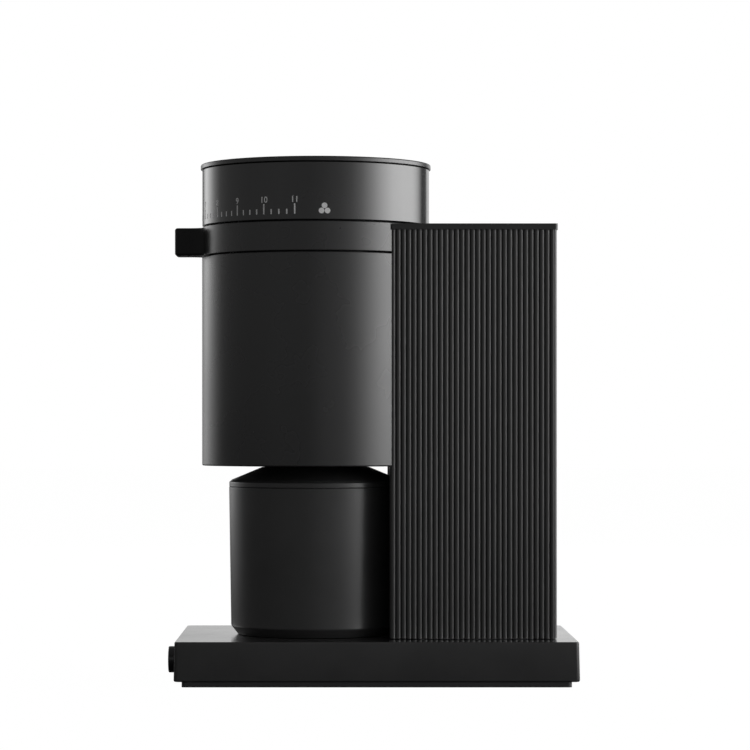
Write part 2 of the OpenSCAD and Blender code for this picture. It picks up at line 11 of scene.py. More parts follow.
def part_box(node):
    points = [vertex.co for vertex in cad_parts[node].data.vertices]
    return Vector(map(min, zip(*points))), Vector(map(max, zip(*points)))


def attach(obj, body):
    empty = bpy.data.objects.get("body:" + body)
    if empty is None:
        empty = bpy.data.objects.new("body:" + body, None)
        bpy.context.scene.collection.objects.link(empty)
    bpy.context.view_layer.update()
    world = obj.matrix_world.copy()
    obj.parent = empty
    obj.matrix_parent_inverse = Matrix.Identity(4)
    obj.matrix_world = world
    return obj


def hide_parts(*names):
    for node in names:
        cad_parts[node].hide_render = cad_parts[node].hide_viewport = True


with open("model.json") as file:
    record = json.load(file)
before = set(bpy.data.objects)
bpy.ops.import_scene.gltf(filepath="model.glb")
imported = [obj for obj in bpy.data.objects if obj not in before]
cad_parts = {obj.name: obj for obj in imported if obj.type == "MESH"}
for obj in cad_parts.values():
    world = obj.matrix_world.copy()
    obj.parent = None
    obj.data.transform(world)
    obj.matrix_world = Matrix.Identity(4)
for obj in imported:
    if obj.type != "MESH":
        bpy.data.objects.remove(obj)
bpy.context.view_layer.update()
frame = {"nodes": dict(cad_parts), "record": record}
MM = 0.001  # a millimetre in scene units
SLOT_OF = {s["node"]: s["material_slot"] for s in frame["record"]["subparts"]}

# ---------------------------------------------------------------- places, all from the frame


def span(node):
    """Lowest and highest corner of a CAD node, in millimetres."""
    low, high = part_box(node)
    return low / MM, high / MM


body_low, body_high = span("body_shell")
BODY_R = (body_high.x - body_low.x) / 2
AXIS_Y = (body_low.y + BODY_R) * MM  # the body's front-most point is its radius in front of the axis
AXIS = Vector((0, AXIS_Y, 0))


def off_axis(node):
    """The same corners with y counted from the grinding axis."""
    low, high = span(node)
    shift = Vector((0, AXIS_Y / MM, 0))
    return low - shift, high - shift


# ---------------------------------------------------------------- materials


def node_tree(name):
    """A new material with its node tree and its main shader."""
    material = bpy.data.materials.new(name)
    material.use_nodes = True
    tree = material.node_tree
    shader = tree.nodes["Principled BSDF"]
    return material, tree, shader


def add(tree, kind, **values):
    """A node with its inputs set by name and its properties by attribute."""
    node = tree.nodes.new(kind)
    for key, value in values.items():
        if key in node.inputs:
            node.inputs[key].default_value = value
        else:
            setattr(node, key, value)
    return node


def noise(tree, coordinates, scale, detail=2.0, stretch=(1, 1, 1)):
    """Noise of a given number of cells per metre."""
    mapping = add(tree, "ShaderNodeMapping", vector_type="POINT")
    mapping.inputs["Scale"].default_value = stretch
    tree.links.new(coordinates, mapping.inputs["Vector"])
    texture = add(tree, "ShaderNodeTexNoise", Scale=scale, Detail=detail, Roughness=0.55)
    tree.links.new(mapping.outputs["Vector"], texture.inputs["Vector"])
    return texture.outputs["Fac"]


def spread(tree, value, low, high):
    """Maps noise, which stays near 0.5, to a range."""
    node = add(tree, "ShaderNodeMapRange", clamp=True)
    for key, number in (("From Min", 0.3), ("From Max", 0.7), ("To Min", low), ("To Max", high)):
        node.inputs[key].default_value = number
    tree.links.new(value, node.inputs["Value"])
    return node.outputs["Result"]


def tint(tree, shader, value, dark, light):
    """Base colour between two colours."""
    mix = add(tree, "ShaderNodeMix", data_type="RGBA")
    mix.inputs["A"].default_value = (*dark, 1)
    mix.inputs["B"].default_value = (*light, 1)
    tree.links.new(value, mix.inputs["Factor"])
    tree.links.new(mix.outputs["Result"], shader.inputs["Base Color"])


def bump(tree, shader, layers):
    """Stacks height layers of (value, depth in millimetres)."""
    normal = None
    for value, depth in layers:
        node = add(tree, "ShaderNodeBump", Strength=1.0, Distance=depth * MM)
        tree.links.new(value, node.inputs["Height"])
        if normal is not None:
            tree.links.new(normal, node.inputs["Normal"])
        normal = node.outputs["Normal"]
    tree.links.new(normal, shader.inputs["Normal"])


def plastic(name, colour, rough, grain=0.003, grain_scale=2600, specular=0.5, coat=0.0, vary=0.12):
    """Moulded plastic: spark-eroded grain, faint flow clouding and handling marks."""
    material, tree, shader = node_tree(name)
    where = add(tree, "ShaderNodeTexCoord").outputs["Object"]
    cloud = noise(tree, where, 28, 3)
    fine = noise(tree, where, grain_scale, 3)
    wide = noise(tree, where, 9, 2, (1, 1, 0.35))
    dark, light = ([c * (1 + share) for c in colour] for share in (-vary, vary))
    tint(tree, shader, spread(tree, cloud, 0, 1), dark, light)
    marks = add(tree, "ShaderNodeMath", operation="ADD")
    tree.links.new(spread(tree, cloud, rough - 0.02, rough + 0.02), marks.inputs[0])
    tree.links.new(spread(tree, wide, -0.015, 0.015), marks.inputs[1])
    tree.links.new(marks.outputs["Value"], shader.inputs["Roughness"])
    shader.inputs["Specular IOR Level"].default_value = specular
    shader.inputs["Coat Weight"].default_value = coat
    shader.inputs["Coat Roughness"].default_value = 0.12
    bump(tree, shader, [(fine, grain), (noise(tree, where, 140, 2), grain * 1.6)])
    return material


def metal(name, colour, rough, brush=(1, 1, 1), scale=900, depth=0.002, cast=0.0):
    """Metal with a brushed, turned or cast surface; stretch is low along the grain."""
    material, tree, shader = node_tree(name)
    where = add(tree, "ShaderNodeTexCoord").outputs["Object"]
    lines = noise(tree, where, scale, 3, brush)
    stain = noise(tree, where, 60, 3)
    dark, light = [c * 0.86 for c in colour], [min(1, c * 1.08) for c in colour]
    tint(tree, shader, spread(tree, stain, 0, 1), dark, light)
    tree.links.new(spread(tree, lines, rough - 0.07, rough + 0.08), shader.inputs["Roughness"])
    shader.inputs["Metallic"].default_value = 1.0
    layers = [(lines, depth)]
    if cast:
        layers.append((noise(tree, where, 700, 4), cast))
    bump(tree, shader, layers)
    return material


def rubber(name, colour, rough=0.72):
    """Dull rubber with a faint bloom."""
    material, tree, shader = node_tree(name)
    where = add(tree, "ShaderNodeTexCoord").outputs["Object"]
    speck = noise(tree, where, 1500, 4)
    bloom = noise(tree, where, 45, 3)
    tint(tree, shader, spread(tree, bloom, 0, 1), [c * 0.8 for c in colour], [c * 1.3 for c in colour])
    tree.links.new(spread(tree, speck, rough - 0.06, rough + 0.06), shader.inputs["Roughness"])
    bump(tree, shader, [(speck, 0.01)])
    return material


def circuit_mask(name):
    """Green solder mask with faint copper tracks under it."""
    material, tree, shader = node_tree(name)
    where = add(tree, "ShaderNodeTexCoord").outputs["Object"]
    tracks = add(tree, "ShaderNodeTexBrick", Scale=260.0, offset=0.37)
    tracks.inputs["Mortar Size"].default_value = 0.06
    tracks.inputs["Color1"].default_value = (0.012, 0.10, 0.035, 1)
    tracks.inputs["Color2"].default_value = (0.010, 0.085, 0.03, 1)
    tracks.inputs["Mortar"].default_value = (0.03, 0.22, 0.08, 1)
    tree.links.new(where, tracks.inputs["Vector"])
    tree.links.new(tracks.outputs["Color"], shader.inputs["Base Color"])
    tree.links.new(spread(tree, noise(tree, where, 400), 0.25, 0.4), shader.inputs["Roughness"])
    bump(tree, shader, [(tracks.outputs["Fac"], 0.01)])
    return material


def print_ink(name):
    """Pale grey pad-printed ink with slightly uneven cover."""
    material, tree, shader = node_tree(name)
    where = add(tree, "ShaderNodeTexCoord").outputs["Object"]
    cover = noise(tree, where, 2200, 3)
    tint(tree, shader, spread(tree, cover, 0, 1), (0.62, 0.62, 0.62), (0.80, 0.80, 0.80))
    tree.links.new(spread(tree, cover, 0.5, 0.62), shader.inputs["Roughness"])
    bump(tree, shader, [(cover, 0.002)])
    return material


BLACK = (0.0165, 0.0165, 0.017)
STEEL = (0.56, 0.56, 0.57)
MATERIALS = {
    "black_gloss": plastic("base_plastic", (0.0255, 0.0255, 0.026), 0.14, 0.0012, coat=0.2),
    "black_steel": plastic("powder_coat", (0.014, 0.014, 0.015), 0.5, 0.02, 1400),
    "foot_rubber": rubber("foot_rubber", (0.022, 0.022, 0.022)),
    "zinc_screw": metal("zinc_plate", (0.62, 0.62, 0.60), 0.34, (1, 1, 0.2)),
    "black_rubber": rubber("seal_rubber", (0.016, 0.016, 0.016), 0.62),
    "circuit_board": circuit_mask("circuit_board"),
    "black_component": plastic("component_plastic", (0.02, 0.02, 0.021), 0.48, 0.01, 1800),
    "button_black": plastic("button_plastic", (0.008, 0.008, 0.0085), 0.22, 0.001),
    "wire_jacket": plastic("wire_jacket", (0.30, 0.02, 0.018), 0.42, 0.004),
    "ribbed_black": plastic("ribbed_plastic", (0.028, 0.028, 0.0285), 0.38, 0.003),
    "black_satin": plastic("satin_plastic", (0.014, 0.014, 0.0145), 0.42, 0.004),
    "cast_aluminium": metal("cast_aluminium", (0.58, 0.585, 0.6), 0.46, scale=500, depth=0.004, cast=0.03),
    "zinc_steel": metal("zinc_steel", (0.6, 0.6, 0.57), 0.36, (1, 1, 0.06)),
    "ferrite": plastic("ferrite", (0.05, 0.05, 0.052), 0.6, 0.02, 1500),
    "sintered_bronze": metal("sintered_bronze", (0.5, 0.36, 0.19), 0.5, scale=1800, depth=0.01),
    "ground_steel": metal("ground_steel", STEEL, 0.24, (0.08, 0.08, 1)),
    "copper_winding": metal("copper_winding", (0.7, 0.3, 0.14), 0.34, (1, 1, 0.05), 1800, 0.06),
    "gear_brass": metal("gear_brass", (0.72, 0.53, 0.24), 0.3, (1, 1, 0.1)),
    "gear_nylon": plastic("gear_nylon", (0.74, 0.71, 0.62), 0.4, 0.003, vary=0.04),
    "dark_steel": metal("dark_steel", (0.16, 0.16, 0.17), 0.38, (0.1, 0.1, 1)),
    "belt_rubber": rubber("belt_rubber", (0.014, 0.014, 0.014), 0.6),
    "burr_steel": metal("burr_steel", (0.5, 0.5, 0.51), 0.3, (1, 1, 0.3), 1400, 0.004),
    "body_black": plastic("body_plastic", BLACK, 0.27, 0.0022),
    "tab_black": plastic("tab_plastic", (0.014, 0.014, 0.0142), 0.5, 0.002, specular=0.2),
    "smoke_plastic": plastic("smoke_plastic", (0.0135, 0.0135, 0.014), 0.14, 0.001),
    "lid_black": plastic("lid_plastic", (0.019, 0.019, 0.0195), 0.27, 0.0022),
    "cup_black": plastic("cup_plastic", (0.034, 0.034, 0.0345), 0.31, 0.0025),
}
INK = print_ink("scale_ink")

for node, cad in frame["nodes"].items():
    cad.data.materials.clear()
    cad.data.materials.append(MATERIALS[SLOT_OF[node]])

# ---------------------------------------------------------------- mesh tools

ROUND = 192  # sides of a large turned piece

def rounded(points, loop=True, step=12.0):
    """A profile with its corners filleted. Each point is (a, b) or (a, b, radius)."""
    out = []
    count = len(points)
    for i, point in enumerate(points):
        here = Vector(point[:2])
        radius = point[2] if len(point) > 2 else 0
        ends = not loop and i in (0, count - 1)
        if radius <= 0 or ends:
            out.append(here)
            continue
        before = (Vector(points[i - 1][:2]) - here).normalized()
        after = (Vector(points[(i + 1) % count][:2]) - here).normalized()
        angle = acos(max(-1, min(1, before.dot(after))))
        reach = radius / tan(angle / 2)
        centre = here + (before + after).normalized() * (radius / sin(angle / 2))
        start = here + before * reach - centre
        turn = pi - angle
        sense = 1 if before.cross(after) < 0 else -1
        steps = max(2, round(degrees(turn) / step))
        for k in range(steps + 1):
            out.append(centre + Matrix.Rotation(sense * turn * k / steps, 2) @ start)
    return out


def shade(mesh, smooth_below=32):
    """Smooth shading with sharp edges where faces meet at more than an angle."""
    mesh_bm = bmesh.new()
    mesh_bm.from_mesh(mesh)
    for face in mesh_bm.faces:
        face.smooth = True
    for edge in mesh_bm.edges:
        if len(edge.link_faces) == 2:
            edge.smooth = edge.calc_face_angle(0) < radians(smooth_below)
    mesh_bm.to_mesh(mesh)
    mesh_bm.free()


def plain_object(name, mesh_bm):
    """Turns a bmesh in metres into a linked object with outward faces."""
    bmesh.ops.remove_doubles(mesh_bm, verts=mesh_bm.verts, dist=1e-7)
    bmesh.ops.recalc_face_normals(mesh_bm, faces=mesh_bm.faces)
    mesh = bpy.data.meshes.new(name)
    mesh_bm.to_mesh(mesh)
    mesh_bm.free()
    made = bpy.data.objects.new(name, mesh)
    bpy.context.scene.collection.objects.link(made)
    return made


def new_piece(name, mesh_bm, slot_name, body, nodes=(), cutters=(), material=None):
    """A riding piece with smooth shading and crisp edges, less the cutters' volumes."""
    piece = plain_object(name, mesh_bm)
    for cutter in cutters:
        cut = piece.modifiers.new("cut", "BOOLEAN")
        cut.object = cutter
        cut.solver = "EXACT"
    if cutters:
        shape = piece.evaluated_get(bpy.context.evaluated_depsgraph_get())
        cut_mesh = bpy.data.meshes.new_from_object(shape)
        piece.modifiers.clear()
        piece.data = cut_mesh
        cut_mesh.name = name
        for cutter in cutters:
            bpy.data.objects.remove(cutter)
    shade(piece.data)
    piece.data.materials.clear()
    piece.data.materials.append(material or MATERIALS[slot_name])
    weighted = piece.modifiers.new("weighted", "WEIGHTED_NORMAL")
    weighted.keep_sharp = True
    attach(piece, body)
    if nodes:
        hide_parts(*nodes)
    return piece


def lathe(mesh_bm, profile, centre, segments, turn=None):
    """Revolves a closed profile of (radius, height) in millimetres about a vertical or turned axis."""
    turn = turn or Matrix.Identity(3)
    rings = []
    for radius, height in profile:
        if radius < 1e-6:
            rings.append([mesh_bm.verts.new(centre + turn @ Vector((0, 0, height * MM)))])
            continue
        ring = []
        for k in range(segments):
            a = 2 * pi * k / segments
            point = Vector((radius * cos(a), radius * sin(a), height))
            ring.append(mesh_bm.verts.new(centre + turn @ point * MM))
        rings.append(ring)
    for lower, upper in zip(rings, rings[1:] + rings[:1]):
        if len(lower) == 1 and len(upper) == 1:
            continue
        for k in range(segments):
            n = (k + 1) % segments
            if len(lower) == 1:
                mesh_bm.faces.new((lower[0], upper[n], upper[k]))
            elif len(upper) == 1:
                mesh_bm.faces.new((lower[k], lower[n], upper[0]))
            else:
                mesh_bm.faces.new((lower[k], lower[n], upper[n], upper[k]))


def lathe_piece(name, profile, slot_name, body, nodes=(), centre=AXIS, segments=ROUND, turn=None, cutters=()):
    """A riding piece turned from a profile whose corners are filleted."""
    mesh_bm = bmesh.new()
    lathe(mesh_bm, rounded(profile), centre, segments, turn)
    return new_piece(name, mesh_bm, slot_name, body, nodes, cutters)


def stack(mesh_bm, rings, around=False):
    """Joins rings, given as lists of as many points each, into a capped skin or a closed band."""
    loops = [[mesh_bm.verts.new(p) for p in ring] for ring in rings]
    count = len(loops[0])
    for lower, upper in zip(loops, loops[1:] + (loops[:1] if around else [])):
        for k in range(count):
            n = (k + 1) % count
            mesh_bm.faces.new((lower[k], lower[n], upper[n], upper[k]))
    if not around:
        mesh_bm.faces.new(list(reversed(loops[0])))
        mesh_bm.faces.new(loops[-1])


def rod(name, radius, length, foot, turn):
    """Plain cutter for a round hole, from its foot along its own axis."""
    mesh_bm = bmesh.new()
    lathe(mesh_bm, [(0, 0), (radius, 0), (radius, length), (0, length)], foot, 64, turn)
    return plain_object(name, mesh_bm)


def brick(name, low, high):
    """Plain cutter between two corners in metres."""
    mesh_bm = bmesh.new()
    flat = [(low.x, low.y), (high.x, low.y), (high.x, high.y), (low.x, high.y)]
    stack(mesh_bm, [[Vector((x, y, z)) for x, y in flat] for z in (low.z, high.z)])
    return plain_object(name, mesh_bm)


def at(x, y, z):
    """A point given in millimetres, with y counted from the grinding axis."""
    return AXIS + Vector((x, y, z)) * MM


def bevel_node(node, width):
    """Rounds a CAD node's sharp edges with a modifier of a width in millimetres."""
    cad = frame["nodes"][node]
    bevel = cad.modifiers.new("edge_round", "BEVEL")
    bevel.width = width * MM
    bevel.segments = 2
    bevel.limit_method = "ANGLE"
    bevel.angle_limit = radians(35)
    bevel.harden_normals = True


FACING_REAR = Matrix.Rotation(radians(-90), 3, "X")  # turns a lathe's axis from up to +Y
FACING_FRONT = Matrix.Rotation(radians(90), 3, "X")

# ---------------------------------------------------------------- camera and lights

CAMERA_X = 1.5911  # metres from the grinder's middle plane
CAMERA_SIDE = 0.01415  # metres behind the grinding axis
CAMERA_Z = 0.1316  # metres above the table, just under half the grinder's height
camera_data = bpy.data.cameras.new("camera")
camera_data.sensor_width = 36
camera_data.lens = 145.7
camera_data.shift_x = 0.043
camera_data.shift_y = 0.068
camera_data.clip_end = 20
camera = bpy.data.objects.new("camera", camera_data)
camera.location = (CAMERA_X, AXIS_Y + CAMERA_SIDE, CAMERA_Z)
camera.rotation_euler = (radians(90), 0, radians(90))
bpy.context.scene.collection.objects.link(camera)
bpy.context.scene.camera = camera
bpy.context.scene.view_settings.view_transform = "Standard"


# The studio wall round the grinder: bearing from +X towards +Y in degrees, radiance near the table and above
WALL = [
    (-180, 0.75, 0.87), (-166, 0.55, 0.4), (-158, 0.4, 0.15), (-150, 1.1, 1.6), (-143, 1.3, 2.6),
    (-132, 1.0, 2.3), (-122, 0.75, 1.2), (-111, 0.2, 0.5), (-97, 0.2, 0.4), (-70, 0.26, 0.38),
    (-36, 0.34, 0.42), (-6, 0.28, 0.36), (9, 0.6, 0.42), (25, 0.6, 0.6), (36, 0.9, 0.95), (47, 2.0, 1.9),
    (58, 3.6, 4.0), (70, 4.9, 7.0), (83, 5.4, 9.0), (97, 5.4, 8.1), (114, 4.5, 5.6), (127, 2.0, 2.0),
    (131, 0.9, 0.9), (134, 0.2, 0.15), (149, 0.2, 0.15),
    (152, 1.0, 1.2), (165, 0.87, 0.87), (180, 0.75, 0.87),
]
WALL_BLEND = (0.15, 0.38)  # heights between which the lower values turn into the upper ones
WALL_FADE = (0.5, 0.85)  # heights between which the lamps fade
WALL_LEFT = 0.25  # share of their light that is left above
WALL_TOP = 10.0  # the brightest value that the ramp can hold
WALL_RADIUS = 1.75
WALL_HEIGHT = 1.5


def studio_wall():
    """Round wall that lights the grinder and shows in its gloss; the camera looks through it."""
    mesh_bm = bmesh.new()
    sides = 96
    rings = []
    for height in (-0.01, WALL_HEIGHT):
        ring = []
        for k in range(sides):
            a = 2 * pi * k / sides
            ring.append(mesh_bm.verts.new((WALL_RADIUS * cos(a), WALL_RADIUS * sin(a), height)))
        rings.append(ring)
    for k in range(sides):
        n = (k + 1) % sides
        mesh_bm.faces.new((rings[0][n], rings[0][k], rings[1][k], rings[1][n]))
    mesh = bpy.data.meshes.new("studio_wall")
    mesh_bm.to_mesh(mesh)
    mesh_bm.free()
    wall = bpy.data.objects.new("studio_wall", mesh)
    wall.location = AXIS
    wall.visible_camera = False
    bpy.context.scene.collection.objects.link(wall)
    material = bpy.data.materials.new("wall_light")
    material.use_nodes = True
    tree = material.node_tree
    tree.nodes.clear()
    where = add(tree, "ShaderNodeTexCoord").outputs["Object"]
    split = add(tree, "ShaderNodeSeparateXYZ")
    tree.links.new(where, split.inputs["Vector"])
    bearing = add(tree, "ShaderNodeMath", operation="ARCTAN2")
    tree.links.new(split.outputs["Y"], bearing.inputs[0])
    tree.links.new(split.outputs["X"], bearing.inputs[1])
    share = add(tree, "ShaderNodeMapRange")
    share.inputs["From Min"].default_value = -pi
    share.inputs["From Max"].default_value = pi
    tree.links.new(bearing.outputs["Value"], share.inputs["Value"])
    rise = add(tree, "ShaderNodeMapRange", interpolation_type="SMOOTHSTEP")
    rise.inputs["From Min"].default_value, rise.inputs["From Max"].default_value = WALL_BLEND
    tree.links.new(split.outputs["Z"], rise.inputs["Value"])
    blend = add(tree, "ShaderNodeMix", data_type="RGBA")
    tree.links.new(rise.outputs["Result"], blend.inputs["Factor"])
    for column, socket in ((1, "A"), (2, "B")):
        ramp = add(tree, "ShaderNodeValToRGB")
        stops = ramp.color_ramp.elements
        for i, row in enumerate(WALL):
            place = (row[0] + 180) / 360
            stop = stops[0] if i == 0 else stops[-1] if i == len(WALL) - 1 else stops.new(place)
            stop.position = place
            stop.color = (*[row[column] / WALL_TOP] * 3, 1)
        tree.links.new(share.outputs["Result"], ramp.inputs["Fac"])
        tree.links.new(ramp.outputs["Color"], blend.inputs[socket])
    fade = add(tree, "ShaderNodeMapRange", interpolation_type="SMOOTHSTEP")
    fade.inputs["From Min"].default_value, fade.inputs["From Max"].default_value = WALL_FADE
    fade.inputs["To Min"].default_value, fade.inputs["To Max"].default_value = WALL_TOP, WALL_TOP * WALL_LEFT
    tree.links.new(split.outputs["Z"], fade.inputs["Value"])
    glow = add(tree, "ShaderNodeEmission")
    tree.links.new(blend.outputs["Result"], glow.inputs["Color"])
    tree.links.new(fade.outputs["Result"], glow.inputs["Strength"])
    output = add(tree, "ShaderNodeOutputMaterial")
    tree.links.new(glow.outputs["Emission"], output.inputs["Surface"])
    mesh.materials.append(material)


def camera_sees_white(tree, shader_output, output, own, white):
    """White to the camera, with a share of the surface's own shading; the real surface to every other ray."""
    seen = add(tree, "ShaderNodeEmission", Strength=white)
    blend = add(tree, "ShaderNodeMixShader")
    blend.inputs["Fac"].default_value = own
    tree.links.new(seen.outputs["Emission"], blend.inputs[1])
    tree.links.new(shader_output, blend.inputs[2])
    path = add(tree, "ShaderNodeLightPath")
    mix = add(tree, "ShaderNodeMixShader")
    tree.links.new(path.outputs["Is Camera Ray"], mix.inputs["Fac"])
    tree.links.new(shader_output, mix.inputs[1])
    tree.links.new(blend.outputs["Shader"], mix.inputs[2])
    tree.links.new(mix.outputs["Shader"], output)


def studio_floor():
    """Pale paper floor under the grinder."""
    mesh_bm = bmesh.new()
    bmesh.ops.create_grid(mesh_bm, x_segments=1, y_segments=1, size=8)
    mesh = bpy.data.meshes.new("floor")
    mesh_bm.to_mesh(mesh)
    mesh_bm.free()
    floor = bpy.data.objects.new("floor", mesh)
    bpy.context.scene.collection.objects.link(floor)
    material, tree, shader = node_tree("floor_paper")
    where = add(tree, "ShaderNodeTexCoord").outputs["Object"]
    tint(tree, shader, spread(tree, noise(tree, where, 3), 0, 1), (0.10, 0.10, 0.10), (0.11, 0.11, 0.11))
    shader.inputs["Roughness"].default_value = 0.9
    surface = tree.nodes["Material Output"].inputs["Surface"]
    camera_sees_white(tree, shader.outputs["BSDF"], surface, 0.08, 1.08)
    mesh.materials.append(material)


def studio_world():
    """Dim light from above, and white where the camera sees past the floor."""
    world = bpy.data.worlds.new("studio")
    world.use_nodes = True
    bpy.context.scene.world = world
    tree = world.node_tree
    dim = tree.nodes["Background"]
    dim.inputs["Color"].default_value = (1, 1, 1, 1)
    dim.inputs["Strength"].default_value = 0.2
    seen = add(tree, "ShaderNodeBackground", Strength=1.0)
    seen.inputs["Color"].default_value = (1, 1, 1, 1)
    path = add(tree, "ShaderNodeLightPath")
    mix = add(tree, "ShaderNodeMixShader")
    tree.links.new(path.outputs["Is Camera Ray"], mix.inputs["Fac"])
    tree.links.new(dim.outputs["Background"], mix.inputs[1])
    tree.links.new(seen.outputs["Background"], mix.inputs[2])
    tree.links.new(mix.outputs["Shader"], tree.nodes["World Output"].inputs["Surface"])


studio_wall()
studio_floor()
studio_world()

# ---------------------------------------------------------------- base

base_low, base_high = off_axis("base_housing")
BASE_W = base_high.x - base_low.x
button_low, button_high = off_axis("power_button")
BUTTON_X = (button_low.x + button_high.x) / 2
BUTTON_Z = (button_low.z + button_high.z) / 2
SKIN = 3.0  # thickness of the mouldings, in millimetres


def slab_ring(inset, height):
    """The base's outline with rounded corners, drawn in by an inset, at one height in millimetres."""
    corner = 2.0
    x, front, rear = BASE_W / 2 - inset, base_low.y + inset, base_high.y - inset
    flat = rounded([(-x, front, corner), (x, front, corner), (x, rear, corner), (-x, rear, corner)], True, 15)
    return [at(p.x, p.y, height) for p in flat]


def base_shell():
    """Slab with soft edges, slightly wider at its foot, hollow underneath, with its button and cord holes."""
    low, high = base_low.z, base_high.z
    foot_edge, top_edge, draft = 0.9, 0.6, 0.4
    rings = [slab_ring(SKIN, high - SKIN), slab_ring(SKIN, low)]
    quarter = [radians(90 * k / 4) for k in range(5)]
    rings += [slab_ring(foot_edge * (1 - sin(a)), low + foot_edge * (1 - cos(a))) for a in quarter]
    rings += [slab_ring(draft + top_edge * (1 - cos(a)), high - top_edge * (1 - sin(a))) for a in quarter]
    mesh_bm = bmesh.new()
    stack(mesh_bm, rings)
    holes = [
        rod("button_hole", 6.8, 8, at(BUTTON_X, base_low.y - 2, BUTTON_Z), FACING_REAR),
        rod("cord_hole", 6.0, 8, at(0, base_high.y - 6, BUTTON_Z), FACING_REAR),
    ]
    new_piece("base_shell", mesh_bm, "black_gloss", "stand", ["base_housing"], holes)
    screw_low, screw_high = off_axis("base_screws")
    head = 3.1  # radius of a screw's head
    for i, y in enumerate((screw_low.y + head, (screw_low.y + screw_high.y) / 2, screw_high.y - head)):
        for side in (-1, 1):
            post = [(4, 5.6, 0.3), (4, high - SKIN), (1.6, high - SKIN), (1.6, 5.6)]
            where = at(side * (screw_high.x - head), y, 0)
            name = f"base_post_{i}_{'left' if side < 0 else 'right'}"
            lathe_piece(name, post, "black_gloss", "stand", (), where, 32)


def button_pieces():
    """Push button with a dished face, and behind it a flange cut flat above and below and a plunger."""
    reach = button_high.y - button_low.y
    out = base_low.y - button_low.y
    flange = out + SKIN + 0.3
    profile = [
        (0, 0.45), (4.6, 0.45, 1.0), (5.4, 0, 0.3), (6.7, 0, 0.7), (6.7, flange), (7.5, flange, 0.3),
        (7.5, flange + 1.7, 0.3), (2.5, flange + 1.7, 0.4), (2.5, reach, 0.3), (0, reach),
    ]
    foot = at(BUTTON_X, button_low.y, BUTTON_Z)
    trims = []
    left, right = BUTTON_X - 9, BUTTON_X + 9
    for name, low, high in (("trim_low", 0, BUTTON_Z - 6.7), ("trim_high", BUTTON_Z + 6.7, 30)):
        trims.append(brick(name, at(left, button_low.y - 1, low), at(right, button_high.y, high)))
    lathe_piece("button_cap", profile, "button_black", "button", ["power_button"], foot, 96, FACING_REAR, trims)


def gland_piece():
    """Cord gland flush with the rear face, with a flared mouth."""
    low, high = off_axis("cord_gland")
    depth = high.y - low.y
    profile = [
        (3.6, 0, 1.0), (5.9, 0, 0.3), (5.9, 3), (7, 3, 0.3), (7, 5, 0.3), (5.9, 5), (5.9, depth, 0.5),
        (3.6, depth, 0.4),
    ]
    mouth = at(0, high.y, BUTTON_Z)
    lathe_piece("gland", profile, "black_rubber", "stand", ["cord_gland"], mouth, 96, FACING_FRONT)


base_shell()
button_pieces()
gland_piece()

# ---------------------------------------------------------------- grinder body and grind ring

ring_low, ring_high = off_axis("adjust_ring")
BODY_TOP = body_high.z
INNER_R = BODY_R - SKIN


def body_pieces():
    """Barrel with a soft lower edge and the opening at its back for the gear case."""
    low, high = body_low.z, BODY_TOP
    throat = 38.3
    profile = [
        (BODY_R, low, 0.7), (BODY_R, high, 0.5), (throat, high, 0.3), (throat, high - SKIN, 0.3),
        (INNER_R, high - SKIN, 1.5), (INNER_R, low, 0.4),
    ]
    case_top = off_axis("gear_cover")[1].z
    window = brick("case_window", at(-31, 30, low - 1), at(31, 70, case_top + 3))
    lathe_piece("barrel", profile, "body_black", "stand", ["body_shell"], cutters=[window])


def ring_piece():
    """Adjustment ring: an outer band joined by a web to the hub that turns on the collar."""
    low, high = ring_low.z, ring_high.z
    hub_in, hub_out, web = 43.68, 46.6, 3.7
    profile = [
        (BODY_R, low, 0.4), (BODY_R, high, 0.4), (INNER_R, high, 0.3), (INNER_R, low + web + 3, 0.6),
        (hub_out, low + web + 3, 0.6), (hub_out, high, 0.3), (hub_in, high, 0.3), (hub_in, low, 0.3),
        (hub_out, low, 0.3), (hub_out, low + web, 0.6), (INNER_R, low + web, 0.6), (INNER_R, low, 0.3),
    ]
    lathe_piece("grind_ring", profile, "body_black", "adjuster", ["adjust_ring"])


def tab_ring(inset, height):
    """Outline of the tab, blended into the ring by hollow fillets, drawn in by an inset."""
    half_width, fillet = 9.0, 9.0
    half, hollow, tip = half_width - inset, fillet + inset, max(2.0 - inset, 0.7)
    front = off_axis("adjust_tab")[0].y + inset
    reach = BODY_R + fillet
    middle_x = half_width + fillet
    middle_y = -sqrt(reach**2 - middle_x**2)
    swing = acos((BODY_R**2 + reach**2 - hollow**2) / (2 * BODY_R * reach)) if inset > 1e-6 else 0.0
    meet = atan2(middle_y, middle_x) - swing
    start = Vector((BODY_R * cos(meet), BODY_R * sin(meet)))
    first = atan2(start.y - middle_y, start.x - middle_x)
    right = []
    steps = 14
    for k in range(steps + 1):
        a = first + (pi - first) * k / steps
        right.append(Vector((middle_x + hollow * cos(a), middle_y + hollow * sin(a))))
    for k in range(7):
        a = radians(-90 * k / 6)
        right.append(Vector((half - tip + tip * cos(a), front + tip + tip * sin(a))))
    left = [Vector((-p.x, p.y)) for p in reversed(right)]
    back = []
    end = atan2(left[-1].y, left[-1].x)
    for k in range(1, 12):
        a = end + (meet - end) * k / 12
        back.append(Vector(((BODY_R - 0.15) * cos(a), (BODY_R - 0.15) * sin(a))))
    return [at(p.x, p.y, height) for p in right + left + back]


